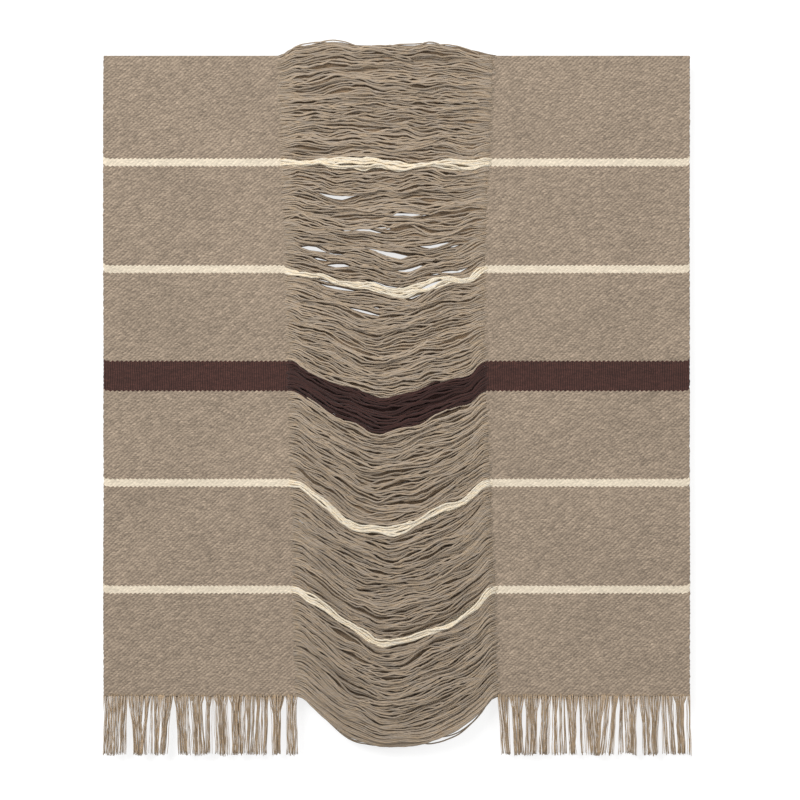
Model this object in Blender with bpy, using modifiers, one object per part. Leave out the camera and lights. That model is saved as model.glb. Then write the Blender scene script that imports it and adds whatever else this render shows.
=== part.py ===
"""Woven wall hanging: two woven panels, the free wefts that sag between them, and a warp fringe.

Metres, +Z up. X runs along the top edge, the front faces -Y and the flat back lies in the plane y = 0.
The origin is the middle of the top edge, on the plane of the wall. Heights are given as "below_top",
the distance below the top edge at which a weft is woven in.
"""

import math
from collections import namedtuple

import bmesh
import bpy
from mathutils import Vector, noise

# Sizes of the weaving
CLOTH_WIDTH = 0.704
WOVEN_LENGTH = 0.768
CLOTH_THICKNESS = 0.003
CLEARANCE = 0.0003
SELVEDGE_WAVE = 0.0008
SELVEDGE_WAVES_PER_M = 9.0
PANEL_COLUMNS = 4
PANEL_ROW = 0.055

# Inner edge of each panel: how far below the top edge, and how far from the middle
InnerEdge = namedtuple("InnerEdge", "below_top left right")
INNER_EDGES = (
    InnerEdge(0.000, 0.140, 0.115),
    InnerEdge(0.290, 0.130, 0.105),
    InnerEdge(0.530, 0.124, 0.112),
    InnerEdge(0.768, 0.118, 0.121),
)

# Stripes: plain ones, evenly spaced over the whole length, the dark one in the middle
STRIPES = ("cream", "cream", "dark", "cream", "cream")
STRIPE_HEIGHT = {"cream": 0.0090, "dark": 0.0360}

# Free wefts: a strip along each panel's inner edge holds their ends, and they hang in locks of yarns
ROOT_STRIP = 0.004
LOCK_HEIGHT = {"natural": 0.0078, "cream": 0.0054, "dark": 0.0061}
LOCK_UNEVEN = 0.24
LOCK_GAP = 0.0008
LOCK_DEPTH = 0.0040
LEAST_LOCK = 0.0022
STATIONS = (0.06, 0.15, 0.26, 0.38, 0.50, 0.62, 0.74, 0.85, 0.94)

# How far the locks stand forward in mid span, at the top of the hanging and at its foot
FORWARD_AT_TOP = 0.0015
FORWARD_AT_FOOT = 0.0050

# Unevenness of the locks: a size, and how many waves it has across the field and in a metre of height
Wave = namedtuple("Wave", "size across per_m seed")
LONG_WAVE = Wave(0.0055, 3.0, 22.0, 1.7)
SHORT_WAVE = Wave(0.0016, 7.0, 60.0, 9.2)
DEPTH_WAVE = Wave(0.0014, 5.0, 80.0, 4.4)
GAP_WAVE = Wave(0.0024, 4.0, 400.0, 6.6)

# How deep the free wefts sag by the height at which they are woven in. A minus rises above its roots
Sag = namedtuple("Sag", "below_top depth")
SAGS = (
    Sag(0.000, -0.012),
    Sag(0.030, -0.006),
    Sag(0.120, 0.002),
    Sag(0.190, 0.014),
    Sag(0.280, 0.027),
    Sag(0.360, 0.040),
    Sag(0.480, 0.052),
    Sag(0.768, 0.060),
)

# Shape of a weft from left to right: the share of its depth at each place, at the top edge and lower down
Swag = namedtuple("Swag", "across at_top below")
SWAG = (
    Swag(0.00, 0.00, 0.00),
    Swag(0.06, 0.70, 0.10),
    Swag(0.15, 1.05, 0.40),
    Swag(0.26, 1.10, 0.74),
    Swag(0.38, 1.00, 0.95),
    Swag(0.48, 0.95, 1.00),
    Swag(0.62, 1.00, 0.93),
    Swag(0.76, 0.95, 0.72),
    Swag(0.88, 0.60, 0.40),
    Swag(0.95, 0.25, 0.14),
    Swag(1.00, 0.00, 0.00),
)
TOP_SHAPE_REACH = 0.120

# Open slits between locks, where the wefts part by more than 4 mm
Slit = namedtuple("Slit", "below_top across reach height")
SLITS = (
    Slit(0.158, 0.26, 0.14, 0.0050),
    Slit(0.183, 0.62, 0.14, 0.0048),
    Slit(0.199, 0.38, 0.16, 0.0056),
    Slit(0.212, 0.74, 0.13, 0.0050),
    Slit(0.219, 0.50, 0.12, 0.0046),
    Slit(0.226, 0.15, 0.15, 0.0066),
    Slit(0.232, 0.62, 0.14, 0.0054),
    Slit(0.238, 0.26, 0.13, 0.0058),
    Slit(0.244, 0.85, 0.13, 0.0060),
    Slit(0.250, 0.50, 0.12, 0.0050),
    Slit(0.256, 0.74, 0.14, 0.0058),
    Slit(0.262, 0.26, 0.13, 0.0052),
    Slit(0.268, 0.62, 0.12, 0.0048),
    Slit(0.281, 0.38, 0.14, 0.0050),
)

# Warp fringe: a strip under each panel with locks of warp ends
FRINGE_LENGTH = 0.064
FRINGE_STRIP = 0.003
FRINGE_LOCKS = 40
FRINGE_LOCK = 0.0040
FRINGE_TIP = 0.0016
FRINGE_STATIONS = (0.16, 0.55, 1.00)
FRINGE_LEAN = 0.0044
FRINGE_CLUMPS_PER_M = 80.0
FRINGE_UNEVEN = 0.0045

# Colour and roughness of each yarn
Yarn = namedtuple("Yarn", "colour roughness")
YARNS = {
    "natural": Yarn((0.353, 0.274, 0.204), 0.95),
    "dark": Yarn((0.082, 0.043, 0.037), 0.90),
    "cream": Yarn((0.831, 0.753, 0.604), 0.90),
    "warp": Yarn((0.279, 0.202, 0.133), 0.90),
}


def clear_scene():
    """Remove every object that is in the scene."""
    for item in list(bpy.data.objects):
        bpy.data.objects.remove(item, do_unlink=True)


def new_collection(name):
    """Make the collection that holds the hanging."""
    collection = bpy.data.collections.new(name)
    bpy.context.scene.collection.children.link(collection)
    return collection


def yarn_material(yarn):
    """The material of one yarn, made once."""
    name = "yarn_" + yarn
    found = bpy.data.materials.get(name)
    if found:
        return found
    material = bpy.data.materials.new(name)
    material.use_nodes = True
    shader = material.node_tree.nodes["Principled BSDF"]
    shader.inputs["Base Color"].default_value = (*YARNS[yarn].colour, 1.0)
    shader.inputs["Roughness"].default_value = YARNS[yarn].roughness
    shader.inputs["Metallic"].default_value = 0.0
    return material


def new_object(name, bm, collection, yarns):
    """Turn a bmesh into a named object with one material for each yarn."""
    mesh = bpy.data.meshes.new(name)
    bm.to_mesh(mesh)
    bm.free()
    for yarn in yarns:
        mesh.materials.append(yarn_material(yarn))
    item = bpy.data.objects.new(name, mesh)
    collection.objects.link(item)
    return item


def smooth_curve(points, at):
    """Value at a place on the smooth curve through (place, value) points."""
    if at <= points[0][0]:
        return points[0][1]
    for index, ((start, low), (end, high)) in enumerate(zip(points, points[1:])):
        if at > end:
            continue
        before = points[max(index - 1, 0)]
        after = points[min(index + 2, len(points) - 1)]
        step = end - start
        slope_in = (high - before[1]) / (end - before[0]) * step
        slope_out = (after[1] - low) / (after[0] - start) * step
        t = (at - start) / step
        return (
            (2 * t**3 - 3 * t**2 + 1) * low
            + (t**3 - 2 * t**2 + t) * slope_in
            + (3 * t**2 - 2 * t**3) * high
            + (t**3 - t**2) * slope_out
        )
    return points[-1][1]


def wave_at(wave, across, below_top):
    """Unevenness at a place in the field of free wefts."""
    place = Vector((across * wave.across, below_top * wave.per_m, wave.seed))
    return wave.size * noise.noise(place)


def inner_edge(side, below_top):
    """X of a panel's inner edge, with side -1 for the left panel and 1 for the right one."""
    points = [(row.below_top, row.left if side < 0 else row.right) for row in INNER_EDGES]
    return side * smooth_curve(points, below_top)


def outer_edge(side, below_top):
    """X of a panel's selvedge, which waves a little."""
    wave = noise.noise(Vector((side * 3.7, below_top * SELVEDGE_WAVES_PER_M, 0.5)))
    return side * (CLOTH_WIDTH / 2 - SELVEDGE_WAVE * (0.5 + wave))


def stripes():
    """Each woven stripe as (top, bottom, yarn), from the top down."""
    pitch = WOVEN_LENGTH / (len(STRIPES) + 1)
    found = []
    for number, yarn in enumerate(STRIPES, start=1):
        half = STRIPE_HEIGHT[yarn] / 2
        found.append((pitch * number - half, pitch * number + half, yarn))
    return found


def weft_groups():
    """Groups of free wefts as (top, bottom, yarn), from the top down."""
    found = []
    reached = 0.0
    for top, bottom, yarn in stripes():
        found.append((reached, top, "natural"))
        found.append((top, bottom, yarn))
        reached = bottom
    found.append((reached, WOVEN_LENGTH, "natural"))
    return found


def lock_boundaries(top, bottom, yarn):
    """Heights at which one lock of a group ends and the next begins. No two locks are quite alike."""
    count = max(2, round((bottom - top) / LOCK_HEIGHT[yarn]))
    height = (bottom - top) / count
    inner = []
    for step in range(1, count):
        even = top + height * step
        inner.append(even + height * LOCK_UNEVEN * noise.noise(Vector((even / height, 0.3, 5.5))))
    return [top, *inner, bottom]


def panel_rows():
    """Heights of a panel's rows, with one at each stripe's edge."""
    edges = {0.0, WOVEN_LENGTH}
    for top, bottom, _ in stripes():
        edges.update((top, bottom))
    edges = sorted(edges)
    rows = [edges[0]]
    for start, end in zip(edges, edges[1:]):
        steps = max(1, round((end - start) / PANEL_ROW))
        rows += [start + (end - start) * step / steps for step in range(1, steps + 1)]
    return rows


def build_panel(name, side, collection):
    """A woven panel: a grid laid out between its two edges, with its thickness in front of the wall."""
    rows = panel_rows()
    yarns = ["natural", "dark", "cream"]
    bm = bmesh.new()
    bmesh.ops.create_grid(bm, x_segments=PANEL_COLUMNS, y_segments=len(rows) - 1, size=0.5)
    for vertex in bm.verts:
        below_top = rows[round((0.5 - vertex.co.y) * (len(rows) - 1))]
        left, right = sorted((inner_edge(side, below_top), outer_edge(side, below_top)))
        vertex.co = Vector((left + (right - left) * (vertex.co.x + 0.5), 0.0, -below_top))
    for face in bm.faces:
        middle = -face.calc_center_median().z
        for top, bottom, yarn in stripes():
            if top < middle < bottom:
                face.material_index = yarns.index(yarn)
    bm.normal_update()
    bmesh.ops.reverse_faces(bm, faces=[face for face in bm.faces if face.normal.y < 0])
    item = new_object(name, bm, collection, yarns)
    thickness = item.modifiers.new("thickness", "SOLIDIFY")
    thickness.thickness = CLOTH_THICKNESS
    thickness.offset = -1.0
    return item


def slits_by_boundary():
    """Each slit of the table, held by the boundary between locks that lies nearest to it."""
    every = sorted({height for group in weft_groups() for height in lock_boundaries(*group)})
    found = {}
    for slit in SLITS:
        nearest = min(every, key=lambda height: abs(height - slit.below_top))
        found.setdefault(nearest, []).append(slit)
    return found


def weft_height(below_top, across):
    """Z of a boundary between locks at a place across the field."""
    depth = smooth_curve([(row.below_top, row.depth) for row in SAGS], below_top)
    lower = min(below_top / TOP_SHAPE_REACH, 1.0)
    shares = [(row.across, row.at_top + (row.below - row.at_top) * lower) for row in SWAG]
    free = math.sin(math.pi * across) ** 0.5
    uneven = wave_at(LONG_WAVE, across, below_top) + wave_at(SHORT_WAVE, across, below_top)
    return -below_top - depth * smooth_curve(shares, across) + free * uneven


def opening(below_top, across, slits):
    """Gap between the two locks at a boundary, wider where a slit lies."""
    free = math.sin(math.pi * across)
    gap = LOCK_GAP + free * abs(wave_at(GAP_WAVE, across, below_top))
    for slit in slits.get(below_top, ()):
        away = min(abs(across - slit.across) / slit.reach, 1.0)
        gap = max(gap, LOCK_GAP + (slit.height - LOCK_GAP) * math.cos(away * math.pi / 2))
    return gap


def lock_section(top, bottom, across, slits):
    """Corners of a lock's section: its top, front, bottom and back."""
    middle_height = (top + bottom) / 2
    left = inner_edge(-1, middle_height) + CLEARANCE + ROOT_STRIP
    right = inner_edge(1, middle_height) - CLEARANCE - ROOT_STRIP
    x = left + (right - left) * across
    high = weft_height(top, across) - opening(top, across, slits) / 2
    low = weft_height(bottom, across) + opening(bottom, across, slits) / 2
    middle = (high + low) / 2
    half = max(high - low, LEAST_LOCK) / 2
    free = math.sin(math.pi * across)
    forward = FORWARD_AT_TOP + (FORWARD_AT_FOOT - FORWARD_AT_TOP) * middle_height / WOVEN_LENGTH
    sway = abs(wave_at(DEPTH_WAVE, across, middle_height))
    y = -CLEARANCE - LOCK_DEPTH / 2 - free * (forward + sway)
    return (
        Vector((x, y, middle + half)),
        Vector((x, y - LOCK_DEPTH / 2, middle)),
        Vector((x, y, middle - half)),
        Vector((x, y + LOCK_DEPTH / 2, middle)),
    )


def face_corners(face, first, second):
    """A four-cornered face's vertices: back and front at the first end, then front and back at the second."""
    middle = face.calc_center_median()
    ends = sorted(face.verts, key=lambda vertex: (vertex.co - middle).dot(first), reverse=True)
    one = sorted(ends[:2], key=lambda vertex: (vertex.co - middle).dot(second), reverse=True)
    two = sorted(ends[2:], key=lambda vertex: (vertex.co - middle).dot(second))
    return one + two


def grow(bm, face, corners, section):
    """Extrude a face to the next section. Gives the new face and its vertices in the section's order."""
    places = [vertex.co.copy() for vertex in corners]
    face = bmesh.ops.extrude_discrete_faces(bm, faces=[face])["faces"][0]
    fresh = [min(face.verts, key=lambda vertex: (vertex.co - place).length) for place in places]
    for vertex, corner in zip(fresh, section):
        vertex.co = corner
    return face, fresh


def strip_faces(bm, columns, rows, place, towards):
    """A flat strip of cells, as thick as the cloth. Gives the faces on the side that it grows locks from."""
    made = bmesh.ops.create_grid(bm, x_segments=columns, y_segments=rows, size=0.5)["verts"]
    for vertex in made:
        vertex.co = place(round((vertex.co.x + 0.5) * columns), round((0.5 - vertex.co.y) * rows))
    cells = list({face for vertex in made for face in vertex.link_faces})
    grown = bmesh.ops.extrude_face_region(bm, geom=cells)["geom"]
    front = [item for item in grown if isinstance(item, bmesh.types.BMVert)]
    bmesh.ops.translate(bm, verts=front, vec=Vector((0.0, -CLOTH_THICKNESS, 0.0)))
    every = list({face for vertex in made + front for face in vertex.link_faces})
    bmesh.ops.recalc_face_normals(bm, faces=every)
    return [face for face in every if face.normal.dot(towards) > 0.9]


def root_strip(bm, side, heights):
    """The strip at one end of a group of free wefts. Gives its inward faces, from the top down."""
    last = len(heights) - 1

    def place(column, row):
        below_top = heights[row]
        trim = {0: CLEARANCE / 2, last: -CLEARANCE / 2}.get(row, 0.0)
        width = CLEARANCE + ROOT_STRIP * (column if side < 0 else 1 - column)
        return Vector((inner_edge(side, below_top) - side * width, 0.0, -below_top - trim))

    faces = strip_faces(bm, 1, last, place, Vector((-side, 0.0, 0.0)))
    return sorted(faces, key=lambda face: -face.calc_center_median().z)


def build_wefts(name, top, bottom, yarn, slits, collection):
    """One group of free wefts: a root strip at each side, and locks that run from strip to strip."""
    up = Vector((0.0, 0.0, 1.0))
    back = Vector((0.0, 1.0, 0.0))
    heights = lock_boundaries(top, bottom, yarn)
    bm = bmesh.new()
    lefts = root_strip(bm, -1, heights)
    rights = root_strip(bm, 1, heights)
    for start, end, high, low in zip(lefts, rights, heights, heights[1:]):
        face = start
        corners = face_corners(face, up, back)
        for across in STATIONS:
            face, corners = grow(bm, face, corners, lock_section(high, low, across, slits))
        seat = face_corners(end, up, back)
        face, corners = grow(bm, face, corners, [vertex.co for vertex in seat])
        bmesh.ops.delete(bm, geom=[face, end], context="FACES_ONLY")
        bmesh.ops.weld_verts(bm, targetmap=dict(zip(corners, seat)))
    bmesh.ops.recalc_face_normals(bm, faces=bm.faces)
    return new_object(name, bm, collection, [yarn])


def fringe_section(root, share, length):
    """Corners of a fringe lock's section, at a share of its length: left, front, right and back."""
    lean = noise.noise(Vector((root.x * FRINGE_CLUMPS_PER_M, 0.0, 6.1)))
    sway = noise.noise(Vector((root.x * FRINGE_CLUMPS_PER_M, share * 2.0, 2.3)))
    half = (FRINGE_LOCK + (FRINGE_TIP - FRINGE_LOCK) * share) / 2
    x = root.x + FRINGE_LEAN * (lean * share + 0.3 * sway * share)
    y = -CLOTH_THICKNESS / 2 - CLEARANCE - 0.3 * CLOTH_THICKNESS * sway * share
    z = root.z - length * share
    return (
        Vector((x - half, y, z)),
        Vector((x, y - half, z)),
        Vector((x + half, y, z)),
        Vector((x, y + half, z)),
    )


def build_fringe(name, side, collection):
    """The warp fringe of one panel: a strip along its bottom edge, and locks that hang from it."""
    left, right = sorted((inner_edge(side, WOVEN_LENGTH), outer_edge(side, WOVEN_LENGTH)))
    top = -WOVEN_LENGTH - CLEARANCE

    def place(column, row):
        return Vector((left + (right - left) * column / FRINGE_LOCKS, 0.0, top - FRINGE_STRIP * row))

    bm = bmesh.new()
    down = Vector((0.0, 0.0, -1.0))
    faces = strip_faces(bm, FRINGE_LOCKS, 1, place, down)
    for root in sorted(faces, key=lambda face: face.calc_center_median().x):
        centre = root.calc_center_median()
        length = FRINGE_LENGTH + FRINGE_UNEVEN * noise.noise(Vector((centre.x * 210.0, 3.3, 0.0)))
        face = root
        corners = face_corners(root, Vector((-1.0, 0.0, 0.0)), Vector((0.0, 1.0, 0.0)))
        for share in FRINGE_STATIONS:
            face, corners = grow(bm, face, corners, fringe_section(centre, share, length))
    bmesh.ops.recalc_face_normals(bm, faces=bm.faces)
    return new_object(name, bm, collection, ["warp"])


def main():
    clear_scene()
    collection = new_collection("woven_wall_hanging")
    slits = slits_by_boundary()
    for side, word in ((-1, "left"), (1, "right")):
        build_panel("panel_" + word, side, collection)
        build_fringe("fringe_" + word, side, collection)
    for number, (top, bottom, yarn) in enumerate(weft_groups(), start=1):
        build_wefts(f"wefts_{number:02d}_{yarn}", top, bottom, yarn, slits, collection)


main()
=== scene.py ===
"""Looks of the woven wall hanging: its weave, free wefts and fringe, yarn by yarn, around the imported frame.

Metres, +Z up. X runs along the top edge, the front faces -Y and the wall is the plane y = 0. A "drop" is
the distance below the top edge at which a weft is woven in, and "across" runs from 0 at the left end of
the free wefts to 1 at their right end.
"""

import math
import random
from collections import namedtuple

import bmesh
import bpy
from mathutils import Matrix, Vector, noise


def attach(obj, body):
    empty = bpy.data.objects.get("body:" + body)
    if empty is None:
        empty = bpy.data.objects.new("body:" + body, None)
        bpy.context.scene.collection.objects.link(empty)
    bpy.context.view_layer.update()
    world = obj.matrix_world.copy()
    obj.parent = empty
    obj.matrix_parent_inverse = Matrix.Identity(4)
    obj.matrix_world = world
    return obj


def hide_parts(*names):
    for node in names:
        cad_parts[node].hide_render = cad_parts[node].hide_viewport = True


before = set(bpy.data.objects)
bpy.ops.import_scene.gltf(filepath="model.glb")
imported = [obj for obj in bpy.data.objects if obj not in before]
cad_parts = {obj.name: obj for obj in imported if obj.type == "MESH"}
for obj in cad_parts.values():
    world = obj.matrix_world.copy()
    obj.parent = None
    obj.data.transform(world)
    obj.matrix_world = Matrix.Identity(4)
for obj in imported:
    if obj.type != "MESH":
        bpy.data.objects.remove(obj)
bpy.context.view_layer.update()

bl_info = {
    "name": "Woven Wall Hanging",
    "version": (1, 0, 0),
    "blender": (4, 5, 0),
    "location": "3D View > Sidebar > Weaving",
    "description": "Builds a wall hanging with woven panels, free wefts and a warp fringe",
    "category": "Object",
}

BODY = "root"

# Sizes of the weaving, repeated from the solids
WOVEN_LENGTH = 0.768
CLOTH_WIDTH = 0.704
SELVEDGE_WAVE = 0.0008
SELVEDGE_WAVES_PER_M = 9.0
STRIPES = ("cream", "cream", "dark", "cream", "cream")
STRIPE_HEIGHT = {"cream": 0.0090, "dark": 0.0360}

InnerEdge = namedtuple("InnerEdge", "drop left right")
INNER_EDGES = (
    InnerEdge(0.000, 0.140, 0.115),
    InnerEdge(0.290, 0.130, 0.105),
    InnerEdge(0.530, 0.124, 0.112),
    InnerEdge(0.768, 0.118, 0.121),
)
Sag = namedtuple("Sag", "drop depth")
SAGS = (
    Sag(0.000, -0.012),
    Sag(0.030, -0.006),
    Sag(0.120, 0.002),
    Sag(0.190, 0.014),
    Sag(0.280, 0.027),
    Sag(0.360, 0.040),
    Sag(0.480, 0.052),
    Sag(0.768, 0.060),
)
Swag = namedtuple("Swag", "across at_top below")
SWAG = (
    Swag(0.00, 0.00, 0.00),
    Swag(0.06, 0.70, 0.10),
    Swag(0.15, 1.05, 0.40),
    Swag(0.26, 1.10, 0.74),
    Swag(0.38, 1.00, 0.95),
    Swag(0.48, 0.95, 1.00),
    Swag(0.62, 1.00, 0.93),
    Swag(0.76, 0.95, 0.72),
    Swag(0.88, 0.60, 0.40),
    Swag(0.95, 0.25, 0.14),
    Swag(1.00, 0.00, 0.00),
)
TOP_SHAPE_REACH = 0.120
LEVEL_REACH = 0.07
Slit = namedtuple("Slit", "drop across reach height")
SLITS = (
    Slit(0.158, 0.26, 0.14, 0.0050),
    Slit(0.183, 0.62, 0.14, 0.0048),
    Slit(0.199, 0.38, 0.16, 0.0056),
    Slit(0.212, 0.74, 0.13, 0.0050),
    Slit(0.219, 0.50, 0.12, 0.0046),
    Slit(0.226, 0.15, 0.15, 0.0066),
    Slit(0.232, 0.62, 0.14, 0.0054),
    Slit(0.238, 0.26, 0.13, 0.0058),
    Slit(0.244, 0.85, 0.13, 0.0060),
    Slit(0.250, 0.50, 0.12, 0.0050),
    Slit(0.256, 0.74, 0.14, 0.0058),
    Slit(0.262, 0.26, 0.13, 0.0052),
    Slit(0.268, 0.62, 0.12, 0.0048),
    Slit(0.281, 0.38, 0.14, 0.0050),
)

# How near a weft has to lie to a slit to be moved by it, and the share of its height that each side gives
SLIT_FADE = 0.004
SLIT_SHARE = 0.66

# Gaps between the wefts in sight: their numbers high up and low down, and how near a weft is moved by one
TROUGHS_HIGH = 12
TROUGHS_LOW = 44
TROUGH_REACH = 0.02

# Over this height above the last weft the unevenness dies away
FOOT_REACH = 0.04

# Steps along a yarn of each kind
FRONT_STEPS = 50
BACK_STEPS = 24
LOOSE_STEPS = 28
EDGE_STEPS = 24
FRINGE_STEPS = 16

# Ends of the twill that one weft passes over and under before it repeats
TWILL_ENDS = 4.0

# The panels as sheets: columns of cells, thickness and rounding of the rim
SHEET_COLUMNS = 26
SHEET_THICKNESS = 0.0024
RIM_ROUNDING = 0.0006

# Wefts behind lie further apart than woven ones. Cream ones in sight are fuller than natural ones
BACK_SPACING = 1.25
CREAM_FULLNESS = 1.22

# Slack yarns: the weft groups that have them, and how many to a metre of height
LOOSE_GROUPS = (1, 7, 9, 11)
LOOSE_PER_M = 60

# Slack first and last wefts: the places across between which each bows away from the others, and how far
EdgeYarn = namedtuple("EdgeYarn", "low high rise")
TOP_EDGE_YARNS = (
    EdgeYarn(0.02, 0.24, 0.0030),
    EdgeYarn(0.12, 0.38, 0.0022),
    EdgeYarn(0.50, 0.74, 0.0024),
    EdgeYarn(0.68, 0.94, 0.0036),
)
FOOT_EDGE_YARNS = (
    EdgeYarn(0.06, 0.42, -0.0064),
    EdgeYarn(0.12, 0.38, -0.0050),
    EdgeYarn(0.62, 0.96, -0.0078),
    EdgeYarn(0.70, 0.98, -0.0060),
)

# The fringe: plies to a warp end, how many plies hang in a bundle, and the broad first bundle at the left
PLIES = 3
BUNDLE_SIZES = (6, 9, 12, 15, 21, 30, 42)
BROAD_BUNDLE = 66

# The stage: a wall just behind the cloth, a floor and two soft lights
STAGE_WIDTH = 6.0
WALL_PLACE = (0.0, 0.013, 1.4)
FLOOR_PLACE = (0.0, -2.9, -1.6)
SoftLight = namedtuple("SoftLight", "name place size power")
SOFT_LIGHTS = (
    SoftLight("key_light", (-2.7, -3.4, 2.3), 2.9, 219.0),
    SoftLight("fill_light", (1.7, -2.2, 0.3), 1.4, 21.0),
)

# The camera: lens and sensor in mm, the width of what it sees at the cloth, and the middle of that
LENS = 85.0
SENSOR = 36.0
VIEW_WIDTH = 0.960
VIEW_MIDDLE = Vector((0.0042, 0.0, -0.4128))


def length_property(name, description, default):
    return bpy.props.FloatProperty(name=name, description=description, default=default, unit="LENGTH")


class HangingSizes(bpy.types.PropertyGroup):
    """Sizes of the yarns and of how they hang."""

    warp_pitch: length_property("Warp Pitch", "Distance between warp ends", 0.00135)
    weft_pitch: length_property("Weft Pitch", "Distance between woven wefts", 0.00118)
    free_pitch: length_property("Free Weft Pitch", "Distance between the free wefts in sight", 0.00150)
    weft_width: length_property("Weft Width", "Width of a free weft", 0.00215)
    back_width: length_property("Back Weft Width", "Width of the fuller wefts that lie behind", 0.0039)
    fringe_length: length_property("Fringe Length", "Length of the cut warp ends", 0.0700)
    fringe_width: length_property("Fringe Width", "Width of a ply of the cut warp ends", 0.00059)


def colour_property(name, description, default):
    return bpy.props.FloatVectorProperty(
        name=name, description=description, default=default, size=3, min=0.0, max=1.0, subtype="COLOR"
    )


class HangingColours(bpy.types.PropertyGroup):
    """Colours of the yarns and of the wall."""

    natural: colour_property("Natural Wool", "Heathered ground yarn", (0.335, 0.261, 0.193))
    dark: colour_property("Dark Wool", "Yarn of the middle stripe", (0.0565, 0.0225, 0.0175))
    cream: colour_property("Cream Wool", "Yarn of the four narrow stripes", (0.76, 0.66, 0.515))
    warp: colour_property("Warp Yarn", "Yarn of the fringe", (0.45, 0.335, 0.225))
    wall: colour_property("Wall", "Plain wall behind the hanging", (0.95, 0.95, 0.95))


def clamp(value, low=0.0, high=1.0):
    return min(max(value, low), high)


def smooth_curve(points, at):
    """Value at a place on the smooth curve through (place, value) points."""
    if at <= points[0][0]:
        return points[0][1]
    for index, ((start, low), (end, high)) in enumerate(zip(points, points[1:])):
        if at > end:
            continue
        before = points[max(index - 1, 0)]
        after = points[min(index + 2, len(points) - 1)]
        step = end - start
        slope_in = (high - before[1]) / (end - before[0]) * step
        slope_out = (after[1] - low) / (after[0] - start) * step
        t = (at - start) / step
        return (
            (2 * t**3 - 3 * t**2 + 1) * low
            + (t**3 - 2 * t**2 + t) * slope_in
            + (3 * t**2 - 2 * t**3) * high
            + (t**3 - t**2) * slope_out
        )
    return points[-1][1]


def wave(x, y, seed):
    """Smooth unevenness, from about -0.7 to 0.7."""
    return noise.noise(Vector((x, y, seed)))


def inner_edge(side, drop):
    """X of a panel's inner edge, with side -1 for the left panel and 1 for the right one."""
    points = [(row.drop, row.left if side < 0 else row.right) for row in INNER_EDGES]
    return side * smooth_curve(points, drop)


def outer_edge(side, drop):
    """X of a panel's selvedge, which waves a little."""
    uneven = wave(side * 3.7, drop * SELVEDGE_WAVES_PER_M, 0.5)
    return side * (CLOTH_WIDTH / 2 - SELVEDGE_WAVE * (0.5 + uneven))


def stripes():
    """Each woven stripe as (top, bottom, yarn), from the top down."""
    pitch = WOVEN_LENGTH / (len(STRIPES) + 1)
    found = []
    for number, yarn in enumerate(STRIPES, start=1):
        half = STRIPE_HEIGHT[yarn] / 2
        found.append((pitch * number - half, pitch * number + half, yarn))
    return found


def weft_groups():
    """Groups of free wefts as (top, bottom, yarn), from the top down."""
    found = []
    reached = 0.0
    for top, bottom, yarn in stripes():
        found.append((reached, top, "natural"))
        found.append((top, bottom, yarn))
        reached = bottom
    found.append((reached, WOVEN_LENGTH, "natural"))
    return found


def new_object(name, mesh, material):
    """An object at the origin that shows a mesh with one material."""
    mesh.materials.clear()
    mesh.materials.append(material)
    piece = bpy.data.objects.new(name, mesh)
    bpy.context.scene.collection.objects.link(piece)
    return piece


def dress(piece, slot, *nodes):
    """Tie a piece to the frame: its body and the nodes it stands for, which it hides. The slot is not used.
    """
    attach(piece, BODY)
    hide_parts(*nodes)


class Nodes:
    """Short calls for a material's nodes."""

    def __init__(self, name):
        self.material = bpy.data.materials.new(name)
        self.material.use_nodes = True
        self.tree = self.material.node_tree
        self.shader = self.tree.nodes["Principled BSDF"]

    def add(self, kind, values=None, **settings):
        made = self.tree.nodes.new(kind)
        for key, value in settings.items():
            setattr(made, key, value)
        for socket, value in (values or {}).items():
            self.put(made.inputs[socket], value)
        return made

    def put(self, socket, value):
        if isinstance(value, bpy.types.NodeSocket):
            self.tree.links.new(value, socket)
        else:
            socket.default_value = value

    def math(self, operation, *values):
        made = self.add("ShaderNodeMath", operation=operation)
        for index, value in enumerate(values):
            self.put(made.inputs[index], value)
        return made.outputs[0]

    def mix(self, share, one, two, blend="MIX"):
        made = self.add("ShaderNodeMix", data_type="RGBA", blend_type=blend)
        self.put(made.inputs["Factor"], share)
        self.put(made.inputs[6], one)
        self.put(made.inputs[7], two)
        return made.outputs[2]

    def ramp(self, value, low, high, new_low=0.0, new_high=1.0):
        made = self.add(
            "ShaderNodeMapRange",
            {"Value": value, "From Min": low, "From Max": high, "To Min": new_low, "To Max": new_high},
        )
        return made.outputs["Result"]

    def noise(self, vector, scale, detail=2.0):
        made = self.add("ShaderNodeTexNoise", {"Vector": vector, "Scale": scale, "Detail": detail})
        return made.outputs["Fac"]

    def scaled(self, vector, factors):
        made = self.add("ShaderNodeMapping", {"Vector": vector, "Scale": factors})
        return made.outputs["Vector"]

    def between(self, share, one, two):
        """A number between two others."""
        made = self.add("ShaderNodeMix", {"Factor": share, "A": one, "B": two}, data_type="FLOAT")
        return made.outputs["Result"]

    def chance(self, column, row):
        """A random value for each cell of a grid."""
        cell = self.add("ShaderNodeCombineXYZ", {"X": column, "Y": row}).outputs["Vector"]
        made = self.add("ShaderNodeTexWhiteNoise", {"Vector": cell}, noise_dimensions="2D")
        return made.outputs["Value"]

    def grey(self, value):
        made = self.add("ShaderNodeCombineColor", {"Red": value, "Green": value, "Blue": value})
        return made.outputs["Color"]

    def place(self):
        return self.add("ShaderNodeTexCoord").outputs["Object"]


def rgba(colour, gain=1.0):
    return (colour[0] * gain, colour[1] * gain, colour[2] * gain, 1.0)


def tinted(colour, tint):
    return [share * factor for share, factor in zip(colour, tint)]


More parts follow.
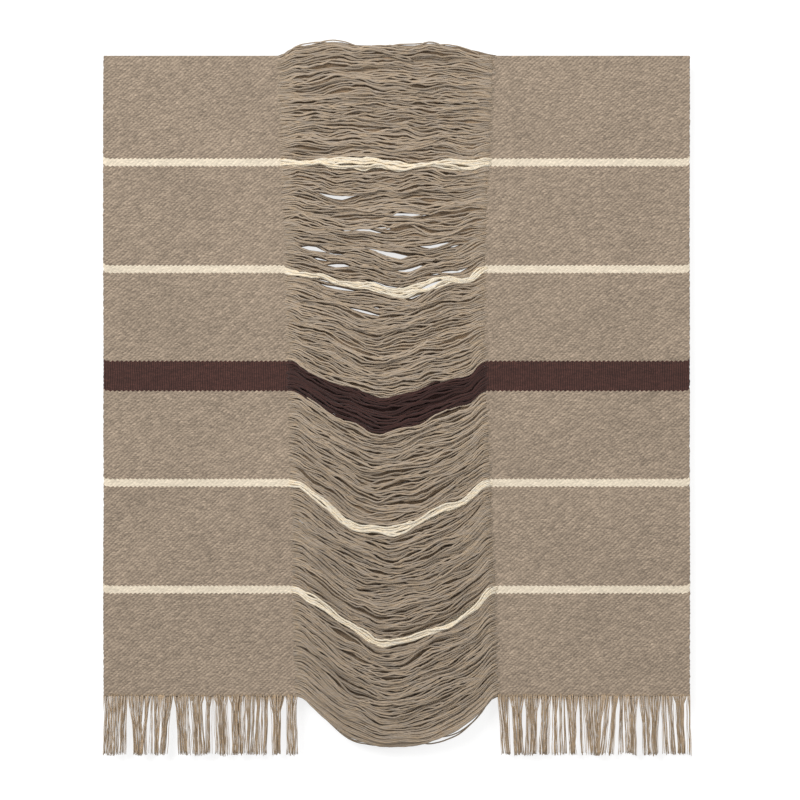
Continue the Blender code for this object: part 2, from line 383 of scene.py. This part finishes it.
def wool_surface(n, colour, lightness, height, bump_strength, bump_distance, heather):
    """Finish a material: its colour, its bump, and the dull surface and slight sheen of wool."""
    n.put(n.shader.inputs["Base Color"], n.mix(1.0, colour, n.grey(lightness), "MULTIPLY"))
    bump = n.add("ShaderNodeBump", {"Height": height, "Strength": bump_strength, "Distance": bump_distance})
    n.put(n.shader.inputs["Normal"], bump.outputs["Normal"])
    n.put(n.shader.inputs["Roughness"], n.ramp(heather, 0.3, 0.7, 0.86, 0.98))
    n.shader.inputs["Specular IOR Level"].default_value = 0.2
    n.shader.inputs["Sheen Weight"].default_value = 0.12
    n.shader.inputs["Sheen Roughness"].default_value = 0.6
    return n.material


def weave_material():
    """Twill ground with the dark and the cream stripes woven in, worked out from X and Z."""
    colours = bpy.context.scene.hanging_colours
    sizes = bpy.context.scene.hanging_sizes
    n = Nodes("woven_wool")
    place = n.place()
    split = n.add("ShaderNodeSeparateXYZ", {"Vector": place})
    x, z = split.outputs["X"], split.outputs["Z"]
    wander = n.noise(n.scaled(place, (38.0, 38.0, 60.0)), 1.0, 3.0)
    wobble = n.math("MULTIPLY", n.math("SUBTRACT", wander, 0.5), 0.0036)
    ends = n.math("DIVIDE", n.math("ADD", x, wobble), sizes.warp_pitch)
    picks = n.math("DIVIDE", n.math("SUBTRACT", z, wobble), sizes.weft_pitch)

    # Each weft passes over three ends and under one, a step to the right for each pick up
    pick = n.math("FLOOR", picks)
    run = n.math("DIVIDE", n.math("SUBTRACT", ends, pick), TWILL_ENDS)
    float_number = n.math("FLOOR", run)
    along = n.math("FRACT", run)
    over = n.math("SINE", n.math("MULTIPLY", n.ramp(along, 0.0, 0.72), math.pi))
    over = n.math("POWER", n.math("MAXIMUM", over, 0.0), 0.8)
    round_pick = n.math("SINE", n.math("MULTIPLY", n.math("FRACT", picks), math.pi))
    twill = n.math("MULTIPLY", over, n.math("POWER", round_pick, 0.4))

    # The dark stripe is beaten tight: upright ribs, one to each warp end
    rib = n.math("ABSOLUTE", n.math("SINE", n.math("MULTIPLY", ends, math.pi / 2)))
    dots = n.math("MULTIPLY", rib, round_pick)

    # A tone for each float, and one for each dash of three floats
    stepped = n.math("ADD", pick, n.math("MULTIPLY", float_number, 2.3))
    dash_tone = n.chance(float_number, n.math("FLOOR", n.math("DIVIDE", stepped, 3.0)))
    tone = n.chance(float_number, pick)
    heather = n.noise(n.scaled(place, (420.0, 420.0, 900.0)), 1.0, 3.0)
    cloud = n.noise(n.scaled(place, (9.0, 9.0, 14.0)), 1.0, 3.0)

    # Where a stripe lies: its edges follow the tips of the wefts, a tooth to each repeat
    teeth = n.math("PINGPONG", n.math("DIVIDE", x, sizes.warp_pitch * TWILL_ENDS), 0.5)
    tooth = n.math("MULTIPLY", n.math("SUBTRACT", teeth, 0.25), 0.0034)
    at_selvedge = n.ramp(n.math("ABSOLUTE", x), 0.3455, 0.3515, 0.0, -0.0022)
    tooth_z = n.math("ADD", n.math("ADD", z, at_selvedge), tooth)
    drop = n.math("MULTIPLY", tooth_z, -1.0)

    def inside(low, high):
        above = n.math("GREATER_THAN", drop, low)
        return n.math("MULTIPLY", above, n.math("LESS_THAN", drop, high))

    marks = {"dark": 0.0, "cream": 0.0}
    for top, bottom, yarn in stripes():
        marks[yarn] = n.math("MAXIMUM", marks[yarn], inside(top, bottom))
    in_dark, in_cream = marks["dark"], marks["cream"]

    # Painted shade: lightness follows the weave's height, so raised floats and ribs are painted lighter and
    # the dips between them darker, as well as being bumped
    height = n.between(in_dark, twill, dots)
    relief = n.ramp(in_dark, 0.0, 1.0, 0.40, 1.40)
    crossing = n.math("SINE", n.math("MULTIPLY", n.math("ADD", ends, picks), math.pi / 2))
    floor = n.ramp(in_dark, 0.0, 1.0, 0.725, 0.41)
    ground = n.math("ADD", floor, n.math("MULTIPLY", crossing, 0.03))
    shade = n.math("ADD", ground, n.math("MULTIPLY", height, relief))
    float_speckle = n.ramp(tone, 0.0, 1.0, 0.80, 1.20)
    speckle = n.math("MULTIPLY", float_speckle, n.ramp(dash_tone, 0.0, 1.0, 0.90, 1.10))
    fleck = n.ramp(heather, 0.3, 0.7, 0.76, 1.24)
    drift = n.ramp(cloud, 0.3, 0.7, 0.94, 1.06)
    woven = n.math("MULTIPLY", shade, speckle)
    lightness = n.math("MULTIPLY", woven, n.math("MULTIPLY", fleck, drift))

    # Cream wool shows half as much of the weave's painted shade and speckle as the darker yarns
    soft = n.math("ADD", n.math("MULTIPLY", n.math("SUBTRACT", lightness, 1.0), 0.50), 1.0)
    strength = n.between(in_cream, lightness, soft)
    heathered = n.ramp(heather, 0.35, 0.65)
    natural = n.mix(heathered, rgba(colours.natural, 0.96), rgba(colours.natural, 1.08))
    colour = n.mix(in_dark, natural, rgba(colours.dark))
    colour = n.mix(in_cream, colour, rgba(colours.cream))
    return wool_surface(n, colour, strength, height, 0.4, 0.0006, heather)


def yarn_material(name, colour, spread):
    """Spun yarn: each strand has its own tone, partly painted shade on the wefts behind and low down, and
    flecks of a cooler and a warmer wool run along it.
    """
    n = Nodes(name)
    place = n.place()
    tone = n.add("ShaderNodeAttribute", attribute_name="tone").outputs["Fac"]
    heather = n.noise(n.scaled(place, (260.0, 500.0, 900.0)), 1.0, 3.0)
    fine = n.noise(n.scaled(place, (1400.0, 2200.0, 2600.0)), 1.0, 1.0)
    own = n.ramp(tone, 0.0, 1.0, 1.0 - spread, 1.0 + spread)
    lightness = n.math("MULTIPLY", own, n.ramp(heather, 0.3, 0.7, 0.84, 1.14))
    lightness = n.math("MULTIPLY", lightness, n.ramp(fine, 0.3, 0.7, 0.88, 1.12))
    blend = n.ramp(n.noise(n.scaled(place, (70.0, 300.0, 760.0)), 1.0, 2.0), 0.35, 0.65)
    cooler = rgba(tinted(colour, (0.94, 0.99, 1.06)))
    warmer = rgba(tinted(colour, (1.06, 1.02, 0.93)))
    return wool_surface(n, n.mix(blend, cooler, warmer), lightness, fine, 0.5, 0.0003, heather)


Strand = namedtuple("Strand", "points width tone end_share", defaults=(1.0,))
Bundle = namedtuple("Bundle", "middle lean pinch gathered_at tone")


def strands_mesh(name, strands, sides):
    """One mesh of round strands, each narrowing to its end share over two points at each end."""
    curve = bpy.data.curves.new(name, "CURVE")
    curve.dimensions = "3D"
    curve.bevel_depth = 0.5
    curve.bevel_resolution = (sides - 4) // 2
    curve.use_fill_caps = True
    for strand in strands:
        spline = curve.splines.new("POLY")
        spline.points.add(len(strand.points) - 1)
        spline.points.foreach_set("co", [value for point in strand.points for value in (*point, 1.0)])
        last = len(strand.points) - 1
        full = [min(index, last - index, 2) / 2 for index in range(last + 1)]
        widths = [strand.width * (strand.end_share + (1.0 - strand.end_share) * share) for share in full]
        spline.points.foreach_set("radius", widths)
    guide = bpy.data.objects.new(name, curve)
    bpy.context.scene.collection.objects.link(guide)
    made = guide.evaluated_get(bpy.context.evaluated_depsgraph_get())
    mesh = bpy.data.meshes.new_from_object(made)
    bpy.data.objects.remove(guide, do_unlink=True)
    bpy.data.curves.remove(curve)
    return mesh


def free(across):
    """How free a weft is from its ends: 0 at the panels and 1 in mid span."""
    return math.sin(math.pi * clamp(across))


def weft_height(drop, across):
    """Z of the smooth field of free wefts, which come level out of the panels."""
    near = min(across, 1.0 - across)
    if 0.0 < near < LEVEL_REACH:
        near *= near / LEVEL_REACH
        across = near if across < 0.5 else 1.0 - near
    depth = smooth_curve([(row.drop, row.depth) for row in SAGS], drop)
    lower = min(drop / TOP_SHAPE_REACH, 1.0)
    shares = [(row.across, row.at_top + (row.below - row.at_top) * lower) for row in SWAG]
    uneven = 0.0055 * wave(across * 3.0, drop * 22.0, 1.7)
    uneven += 0.0016 * wave(across * 7.0, drop * 60.0, 9.2)
    return -drop - depth * smooth_curve(shares, across) + calm(drop) * free(across) ** 0.5 * uneven


def above_foot(drop):
    """How far a weft lies above the last one: 0 for the last, and 1 from a short way up."""
    return min((WOVEN_LENGTH - drop) / FOOT_REACH, 1.0)


def calm(drop):
    """Share of the unevenness that is left: the last wefts lie in an even curve."""
    return 0.3 + 0.7 * above_foot(drop)


def open_slits():
    """The slits and, close to each, a smaller one beside it, as the wefts part and meet again."""
    draws = random.Random(23)
    found = []
    for slit in SLITS:
        reach = slit.reach * draws.uniform(0.42, 0.95)
        height = slit.height * draws.uniform(0.7, 1.2)
        found.append(slit._replace(reach=reach, height=height))
        beside = draws.choice((-1, 1)) * slit.reach * draws.uniform(0.5, 0.9)
        found.append(
            Slit(
                slit.drop + draws.uniform(-0.004, 0.004),
                slit.across + beside,
                slit.reach * draws.uniform(0.2, 0.4),
                slit.height * draws.uniform(0.5, 0.9),
            )
        )
    return found


def open_troughs():
    """Gaps in front that leave the wefts behind in view, low down mostly right of the middle."""
    draws = random.Random(31)
    found = []
    for _ in range(TROUGHS_HIGH):
        drop = draws.uniform(0.02, 0.15)
        across = draws.uniform(0.15, 0.85)
        found.append(Slit(drop, across, draws.uniform(0.07, 0.15), draws.uniform(0.0020, 0.0032)))
    for _ in range(TROUGHS_LOW):
        drop = draws.uniform(0.32, 0.745)
        across = clamp(draws.gauss(0.60, 0.17), 0.16, 0.88)
        found.append(Slit(drop, across, draws.uniform(0.08, 0.20), draws.uniform(0.0028, 0.0046)))
    return found


def slit_shift(slits, drop, across):
    """How far a weft moves up or down to leave the slits open, and how near it is to one, from 0 to 1."""
    shift = 0.0
    nearest = 0.0
    for slit in slits:
        away = abs(across - slit.across) / slit.reach
        if away >= 1.0:
            continue
        near = drop - slit.drop
        close = math.cos(away * math.pi / 2) ** 0.9 * math.exp(-abs(near) / SLIT_FADE)
        push = slit.height * SLIT_SHARE * close
        shift += -push if near > 0 else push
        nearest = max(nearest, close)
    return shift, nearest


def clumps(drop, across):
    """How wefts draw together into clumps with gaps between, low down mostly right of the middle."""
    lower = clamp((drop - 0.25) / 0.15)
    right_of_middle = math.exp(-(((across - 0.62) / 0.26) ** 2))
    size = 1.0 + lower * (0.25 * right_of_middle - 0.46)
    broad = (0.0060 + 0.0034 * drop / WOVEN_LENGTH) * wave(across * 5.0, drop * 74.0, 3.1)
    wide = 0.0056 * lower * wave(across * 3.4, drop * 40.0, 12.5)
    fine = 0.0027 * wave(across * 9.0, drop * 150.0, 6.3)
    return calm(drop) * size * (broad + wide + fine)


def ripple(drop, across):
    """Waves that neighbouring wefts share: strongest about the slits, with a sharper dip low down."""
    about_slits = math.exp(-(((drop - 0.27) / 0.085) ** 2))
    size = 0.0026 + 0.0062 * about_slits
    waves = size * wave(across * 5.2, drop * 16.0, 21.5)
    waves += 0.0030 * wave(across * 10.5, drop * 34.0, 27.3)
    lower = clamp((drop - 0.16) / 0.12)
    dip_place = 0.47 + 0.07 * wave(0.3, drop * 13.0, 33.0)
    away = (across - dip_place) / 0.11
    beside = (abs(across - dip_place) - 0.24) / 0.12
    dip = -0.0042 * math.exp(-away * away) + 0.0022 * math.exp(-(beside**2))
    return calm(drop) * waves + above_foot(drop) * lower * dip


class WeftField:
    """The shared shape of the free wefts, and the strands that follow it."""

    def __init__(self, sizes, seed):
        self.sizes = sizes
        self.draws = random.Random(seed)
        self.slits = open_slits()
        self.troughs = open_troughs()

    def ends(self, drop):
        """X at which a weft comes out of the left panel and goes into the right one."""
        left = inner_edge(-1, drop) - self.draws.uniform(0.0005, 0.0060)
        right = inner_edge(1, drop) + self.draws.uniform(0.0005, 0.0060)
        return left, right

    def behind(self, drop):
        """A full, quiet weft close to the wall, painted darker for the shade it lies in behind the wefts in
        sight.
        """
        left, right = self.ends(drop)
        points = []
        for step in range(BACK_STEPS + 1):
            across = step / BACK_STEPS
            hold = min(free(across) * 2.4, 1.0)
            shift, nearness = slit_shift(self.slits, drop, across)
            wander = 0.0016 * wave(across * 6.0, drop * 900.0, 17.0) * (1.0 - nearness)
            field = ripple(drop, across) + clumps(drop, across) * (0.12 + 0.88 * nearness)
            z = weft_height(drop, across) + hold * (field + calm(drop) * wander) + shift
            y = -0.0014 - 0.0009 * min(free(across) * 6.0, 1.0) - free(across) * 0.0008
            points.append((left + (right - left) * across, y, z))
        # Painted shade: the wefts behind get only the lower tones, and lower still towards the bottom, for
        # the shade they lie in
        tone = (0.5 - 0.4 * drop / WOVEN_LENGTH) * self.draws.random()
        width = self.sizes.back_width * self.draws.uniform(0.9, 1.1)
        return Strand(points, width, tone, 0.6)

    def front(self, drop, number, centre=None):
        """A weft in sight, which gathers with its neighbours. A cream one keeps near its stripe's centre."""
        left, right = self.ends(drop)
        draws = self.draws
        stray = max(draws.random() - 0.86, 0.0) / 0.14
        layer = draws.random()
        troughs = [trough for trough in self.troughs if abs(trough.drop - drop) < TROUGH_REACH]
        points = []
        for step in range(FRONT_STEPS + 1):
            across = step / FRONT_STEPS
            loose = free(across)
            hold = min(loose * 4.0, 1.0)
            lie = drop
            if centre is not None:
                gathered = 0.25 + 0.5 * wave(across * 3.1, centre * 90.0, 51.0)
                lie = centre + (drop - centre) * (1.0 - hold * gathered)
            shift, nearness = slit_shift(self.slits, lie, across)
            own = wave(across * 4.6, number * 7.31, 2.2)
            kink = (0.0012 + 0.0014 * layer) * wave(across * 16.0, number * 3.37, 4.9)
            kink += 0.0015 * wave(across * 34.0, number * 5.93, 7.7)
            wander = (0.0016 + 0.0080 * stray) * own * (1.0 - 0.6 * nearness)
            field = ripple(lie, across) + clumps(lie, across)
            shift += slit_shift(troughs, lie, across)[0]
            z = weft_height(lie, across) + hold * (field + calm(lie) * (kink + wander)) + shift
            depth = 0.5 + 1.1 * wave(across * 4.0, lie * 100.0 + 5.0, 13.1)
            depth += 0.6 * wave(across * 3.4, number * 5.17, 8.8)
            out = 0.0010 + 0.0042 * drop / WOVEN_LENGTH + 0.0016 * layer + 0.0016 * stray
            if centre is None:
                out += (0.0040 + 0.0020 * drop / WOVEN_LENGTH) * clamp(depth)
            else:
                out += 0.0048 + 0.0016 * own
            lifted = min(loose * (3.0 if across < 0.5 else 1.7), 1.0)
            y = -0.0019 - 0.0013 * min(loose * 8.0, 1.0) - lifted * out
            points.append((left + (right - left) * across, y, z))
        fullness = 1.0 if centre is None else CREAM_FULLNESS
        width = self.sizes.weft_width * draws.uniform(0.85, 1.15) * fullness
        # Painted shade: past halfway down, the wefts in sight get lower tones the lower they hang, for the
        # deeper shade of the troughs there
        tone = draws.random() + 0.06 - 0.8 * max(drop / WOVEN_LENGTH - 0.5, 0.0)
        return Strand(points, width, max(tone, 0.0), 0.8)


def loose_yarn(drop, across, length, draws):
    """A slack length of yarn on top of the rest, which slants or turns back on itself."""
    left, right = inner_edge(-1, drop), inner_edge(1, drop)
    slant = draws.uniform(-0.006, 0.006)
    turned = draws.random() < 0.35
    side = draws.choice((-1.0, 1.0))
    points = []
    for step in range(LOOSE_STEPS + 1):
        share = step / LOOSE_STEPS
        along = share - 0.5
        apart = 0.0
        if turned:
            apart = 0.0015 * math.copysign(min(abs(along) * 9.0, 1.0) ** 0.5, along)
            along = side * (abs(along) * 1.2 - 0.3)
        here = across + along * length / (right - left)
        z = weft_height(drop, here) + ripple(drop, here) + slant * along + apart
        z += 0.0022 * wave(share * 3.0, drop * 900.0, across * 70.0)
        out = 0.0052 + 0.0034 * drop / WOVEN_LENGTH
        y = -0.0040 - out * min(math.sin(math.pi * share) * 2.5, 1.0)
        points.append((left + (right - left) * here, y, z))
    return Strand(points, 0.0021 * draws.uniform(0.85, 1.1), 0.4 + 0.5 * draws.random())


def strands_piece(name, strands, sides, material):
    """An object of round strands, with each strand's tone kept on its points."""
    mesh = strands_mesh(name, strands, sides)
    tones = []
    for strand in reversed(strands):
        tones += [strand.tone] * (2 * sides)
    for strand in strands:
        tones += [strand.tone] * (len(strand.points) * sides)
    if len(tones) != len(mesh.vertices):
        raise RuntimeError(f"{name}: {len(mesh.vertices)} points, not {len(tones)}")
    attribute = mesh.attributes.new("tone", "FLOAT", "POINT")
    attribute.data.foreach_set("value", tones)
    bm = bmesh.new()
    bm.from_mesh(mesh)
    bmesh.ops.remove_doubles(bm, verts=bm.verts, dist=0.000001)
    bm.to_mesh(mesh)
    bm.free()
    mesh.shade_smooth()
    return new_object(name, mesh, material)


class HANGING_OT_panels(bpy.types.Operator):
    """Build the two woven panels"""

    bl_idname = "hanging.panels"
    bl_label = "Woven Panels"

    def execute(self, context):
        sizes = context.scene.hanging_sizes
        material = weave_material()
        for side, word in ((-1, "left"), (1, "right")):
            self.build(side, word, sizes, material)
        return {"FINISHED"}

    def build(self, side, word, sizes, material):
        rows = round(WOVEN_LENGTH / (sizes.weft_pitch * 2))
        bm = bmesh.new()
        bmesh.ops.create_grid(bm, x_segments=SHEET_COLUMNS, y_segments=rows, size=0.5)
        for vertex in bm.verts:
            across = 0.5 + 0.5 * math.sin(math.pi * vertex.co.x)
            row = round((0.5 - vertex.co.y) * rows)
            drop = WOVEN_LENGTH * row / rows
            turn = 0.0002 * (1 if row % 2 else -1) + 0.0009 * wave(side * 2.0, drop * 170.0, 3.0)
            low, high = sorted((inner_edge(side, drop), outer_edge(side, drop) + side * turn))
            x = low + (high - low) * across
            lift = 0.0004 * wave(x * 14.0, drop * 11.0, 5.0)
            vertex.co = Vector((x, -0.0004 + min(lift, 0.0), -drop))
        bm.normal_update()
        bmesh.ops.reverse_faces(bm, faces=[face for face in bm.faces if face.normal.y < 0])
        mesh = bpy.data.meshes.new("woven_panel_" + word)
        bm.to_mesh(mesh)
        bm.free()
        mesh.shade_smooth()
        piece = new_object("woven_panel_" + word, mesh, material)
        thickness = piece.modifiers.new("thickness", "SOLIDIFY")
        thickness.thickness = SHEET_THICKNESS
        thickness.offset = -1.0
        rounding = piece.modifiers.new("rounded rim", "BEVEL")
        rounding.width = RIM_ROUNDING
        rounding.segments = 2
        rounding.limit_method = "ANGLE"
        dress(piece, "natural_wool", "panel_" + word)


class HANGING_OT_wefts(bpy.types.Operator):
    """Build the free wefts, strand by strand"""

    bl_idname = "hanging.wefts"
    bl_label = "Free Wefts"

    def execute(self, context):
        sizes = context.scene.hanging_sizes
        colours = context.scene.hanging_colours
        dark = yarn_material("dark_yarn", tinted(colours.dark, (0.78, 0.72, 0.74)), 0.18)
        cream = yarn_material("cream_yarn", colours.cream, 0.08)
        materials = {
            "natural": yarn_material("natural_yarn", tinted(colours.natural, (1.06, 1.07, 1.07)), 0.19),
            "dark": dark,
            "cream": cream,
        }
        # The natural wefts behind have their own material with a wide spread of tones, so that their low
        # tones paint them in shade
        natural_in_painted_shade = yarn_material("painted_shade_natural_yarn", tinted(colours.natural, (1.12, 1.02, 0.90)), 0.46)
        behind = {"natural": natural_in_painted_shade, "dark": dark, "cream": cream}
        field = WeftField(sizes, 4)
        for number, (top, bottom, yarn) in enumerate(weft_groups(), start=1):
            pitch = sizes.weft_pitch if yarn == "cream" else sizes.free_pitch
            front_count = round((bottom - top) / pitch)
            back_count = round((bottom - top) / (sizes.weft_pitch * BACK_SPACING))
            centre = (top + bottom) / 2 if yarn == "cream" else None
            front, back = [], []
            for index in range(front_count):
                drop = top + (bottom - top) * (index + 0.5) / front_count
                front.append(field.front(drop, number * 1000 + index, centre))
            for index in range(back_count):
                back.append(field.behind(top + (bottom - top) * (index + 0.5) / back_count))
            if number in LOOSE_GROUPS:
                front += self.loose_yarns(top, bottom, field.draws)
            node = f"wefts_{number:02d}_{yarn}"
            pieces = (
                strands_piece(f"free_wefts_{number:02d}", front, 6, materials[yarn]),
                strands_piece(f"wefts_behind_{number:02d}", back, 4, behind[yarn]),
            )
            for piece in pieces:
                dress(piece, yarn + "_wool", node)
        return {"FINISHED"}

    def loose_yarns(self, top, bottom, draws):
        """Slack yarns here and there over a group, and those that stand off its free edge."""
        found = []
        for _ in range(round((bottom - top) * LOOSE_PER_M)):
            drop = draws.uniform(top + 0.006, bottom - 0.012)
            found.append(loose_yarn(drop, draws.uniform(0.22, 0.78), draws.uniform(0.04, 0.08), draws))
        if top == 0.0:
            found += [self.edge_yarn(0.0, yarn, draws) for yarn in TOP_EDGE_YARNS]
        if bottom == WOVEN_LENGTH:
            found += [self.edge_yarn(WOVEN_LENGTH, yarn, draws) for yarn in FOOT_EDGE_YARNS]
        return found

    def edge_yarn(self, drop, yarn, draws):
        """A slack first or last weft, which bows away from the others between two places across."""
        low, high, rise = yarn
        left, right = inner_edge(-1, drop), inner_edge(1, drop)
        tuck = math.copysign(0.0030, rise)
        points = []
        for step in range(EDGE_STEPS + 1):
            share = step / EDGE_STEPS
            across = low + (high - low) * share
            bow = math.sin(math.pi * share) ** 0.6
            z = weft_height(drop, across) + free(across) * ripple(drop, across)
            z += (rise + tuck) * bow - tuck
            z += 0.0006 * wave(share * 6.0, low * 90.0, 3.0)
            points.append((left + (right - left) * across, -0.0045, z))
        return Strand(points, 0.0017 * draws.uniform(0.9, 1.1), 0.6)


class HANGING_OT_fringe(bpy.types.Operator):
    """Build the warp fringe under each panel"""

    bl_idname = "hanging.fringe"
    bl_label = "Warp Fringe"

    def execute(self, context):
        sizes = context.scene.hanging_sizes
        material = yarn_material("warp_yarn", context.scene.hanging_colours.warp, 0.14)
        draws = random.Random(11)
        for side, word in ((-1, "left"), (1, "right")):
            low, high = sorted((inner_edge(side, WOVEN_LENGTH), outer_edge(side, WOVEN_LENGTH)))
            plies = round((high - low) / sizes.warp_pitch * PLIES)
            strands = []
            while len(strands) < plies:
                broad = side < 0 and not strands
                size = BROAD_BUNDLE if broad else draws.choice(BUNDLE_SIZES)
                clump = range(len(strands), min(len(strands) + size, plies))
                places = [low + (high - low) * (index + 0.5) / plies for index in clump]
                middle = sum(places) / len(places)
                bundle = Bundle(
                    middle,
                    draws.gauss(0.0, 0.0026) + 0.0080 * wave(middle * 26.0, 0.0, 15.0),
                    0.12 if broad else draws.uniform(0.34, 0.66),
                    draws.choice((0.20, 0.35, 0.60)),
                    draws.uniform(-0.15, 0.05),
                )
                for index, x in zip(clump, places):
                    strands.append(self.strand(x, bundle, index, sizes, draws))
            piece = strands_piece("warp_fringe_" + word, strands, 4, material)
            dress(piece, "warp_yarn", "fringe_" + word)
        return {"FINISHED"}

    def strand(self, x, bundle, index, sizes, draws):
        """A ply of a cut warp end. It hangs with its bundle, which draws together under the cloth."""
        length = sizes.fringe_length * (1.0 + 0.03 * wave(x * 60.0, 0.0, 4.0))
        length += draws.uniform(-0.0024, 0.0010)
        own = draws.gauss(0.0, 0.0014)
        stray = draws.choice((0.2, 0.8, 1.0, 1.0, 1.0, 1.0, 1.1))
        start = draws.uniform(0.0005, 0.0035)
        front = draws.choice((0.0012, 0.0034))
        points = []
        for step in range(FRINGE_STEPS + 1):
            share = step / FRINGE_STEPS
            gathered = min(share / bundle.gathered_at, 1.0)
            smooth = gathered * gathered * (3.0 - 2.0 * gathered)
            drawn = (bundle.middle - x) * bundle.pinch * stray * smooth
            bent = 0.0010 * wave(bundle.middle * 170.0, share * 3.0, 6.0)
            bent += 0.0007 * wave(index * 3.7, share * 4.0, 9.0)
            y = -front - 0.0014 * wave(index * 2.9, share * 2.5, 1.0) * min(share * 3.0, 1.0)
            z = start - WOVEN_LENGTH - (length + start) * share
            side = bundle.lean * share + own * share + bent * min(share * 3.0, 1.0)
            points.append((x + drawn + side, y, z))
        tone = clamp(draws.random() + bundle.tone)
        return Strand(points, sizes.fringe_width * draws.uniform(0.85, 1.2), tone)


def add_light(row):
    """A round soft light that shines at the middle of the view."""
    light = bpy.data.lights.new(row.name, "AREA")
    light.shape = "DISK"
    light.size = row.size
    light.energy = row.power
    lamp = bpy.data.objects.new(row.name, light)
    lamp.location = row.place
    lamp.rotation_euler = (VIEW_MIDDLE - Vector(row.place)).to_track_quat("-Z", "Y").to_euler()
    bpy.context.scene.collection.objects.link(lamp)


class HANGING_OT_stage(bpy.types.Operator):
    """Build the plain wall and floor, the lights and the camera"""

    bl_idname = "hanging.stage"
    bl_label = "Wall, Light and Camera"

    def execute(self, context):
        scene = context.scene
        wall_colour = scene.hanging_colours.wall
        wall = self.sheet("plain_wall", wall_colour)
        wall.data.transform(Matrix.Rotation(math.pi / 2, 4, "X"))
        wall.data.transform(Matrix.Translation(WALL_PLACE))
        floor = self.sheet("pale_floor", wall_colour)
        floor.data.transform(Matrix.Translation(FLOOR_PLACE))

        world = bpy.data.worlds.new("soft_studio")
        world.use_nodes = True
        background = world.node_tree.nodes["Background"]
        background.inputs["Color"].default_value = (1.0, 1.0, 1.0, 1.0)
        background.inputs["Strength"].default_value = 0.42
        scene.world = world
        for row in SOFT_LIGHTS:
            add_light(row)

        camera = bpy.data.cameras.new("front_camera")
        camera.lens = LENS
        camera.sensor_width = SENSOR
        view = bpy.data.objects.new("front_camera", camera)
        view.location = VIEW_MIDDLE + Vector((0.0, -VIEW_WIDTH * LENS / SENSOR, 0.0))
        view.rotation_euler = (math.pi / 2, 0.0, 0.0)
        scene.collection.objects.link(view)
        scene.camera = view
        scene.view_settings.view_transform = "Standard"
        return {"FINISHED"}

    def sheet(self, name, colour):
        """A plain square, which shows from its front only and casts no shadow."""
        bm = bmesh.new()
        bmesh.ops.create_grid(bm, x_segments=1, y_segments=1, size=STAGE_WIDTH / 2)
        mesh = bpy.data.meshes.new(name)
        bm.to_mesh(mesh)
        bm.free()
        n = Nodes(name)
        n.put(n.shader.inputs["Base Color"], rgba(colour, 0.38))
        n.put(n.shader.inputs["Emission Color"], rgba(colour))
        n.put(n.shader.inputs["Emission Strength"], 0.80)
        n.shader.inputs["Roughness"].default_value = 0.9
        n.shader.inputs["Specular IOR Level"].default_value = 0.0
        clear = n.add("ShaderNodeBsdfTransparent")
        behind = n.add("ShaderNodeNewGeometry").outputs["Backfacing"]
        both = n.add("ShaderNodeMixShader", {0: behind, 1: n.shader.outputs[0], 2: clear.outputs[0]})
        n.tree.links.new(both.outputs[0], n.tree.nodes["Material Output"].inputs["Surface"])
        thing = new_object(name, mesh, n.material)
        thing.visible_shadow = False
        thing.visible_diffuse = False
        return thing


class HANGING_PT_sidebar(bpy.types.Panel):
    """Sizes, colours and steps of the wall hanging"""

    bl_idname = "HANGING_PT_sidebar"
    bl_label = "Woven Wall Hanging"
    bl_space_type = "VIEW_3D"
    bl_region_type = "UI"
    bl_category = "Weaving"

    def draw(self, context):
        layout = self.layout
        for group in (context.scene.hanging_sizes, context.scene.hanging_colours):
            for name in group.__annotations__:
                layout.prop(group, name)
        for step in STEPS:
            layout.operator(step.bl_idname)


STEPS = (HANGING_OT_panels, HANGING_OT_wefts, HANGING_OT_fringe, HANGING_OT_stage)
CLASSES = (HangingSizes, HangingColours, *STEPS, HANGING_PT_sidebar)


def register():
    for cls in CLASSES:
        bpy.utils.register_class(cls)
    bpy.types.Scene.hanging_sizes = bpy.props.PointerProperty(type=HangingSizes)
    bpy.types.Scene.hanging_colours = bpy.props.PointerProperty(type=HangingColours)


def unregister():
    del bpy.types.Scene.hanging_colours
    del bpy.types.Scene.hanging_sizes
    for cls in reversed(CLASSES):
        bpy.utils.unregister_class(cls)


def main():
    register()
    bpy.ops.hanging.panels()
    bpy.ops.hanging.wefts()
    bpy.ops.hanging.fringe()
    bpy.ops.hanging.stage()


if __name__ == "__main__":
    main()
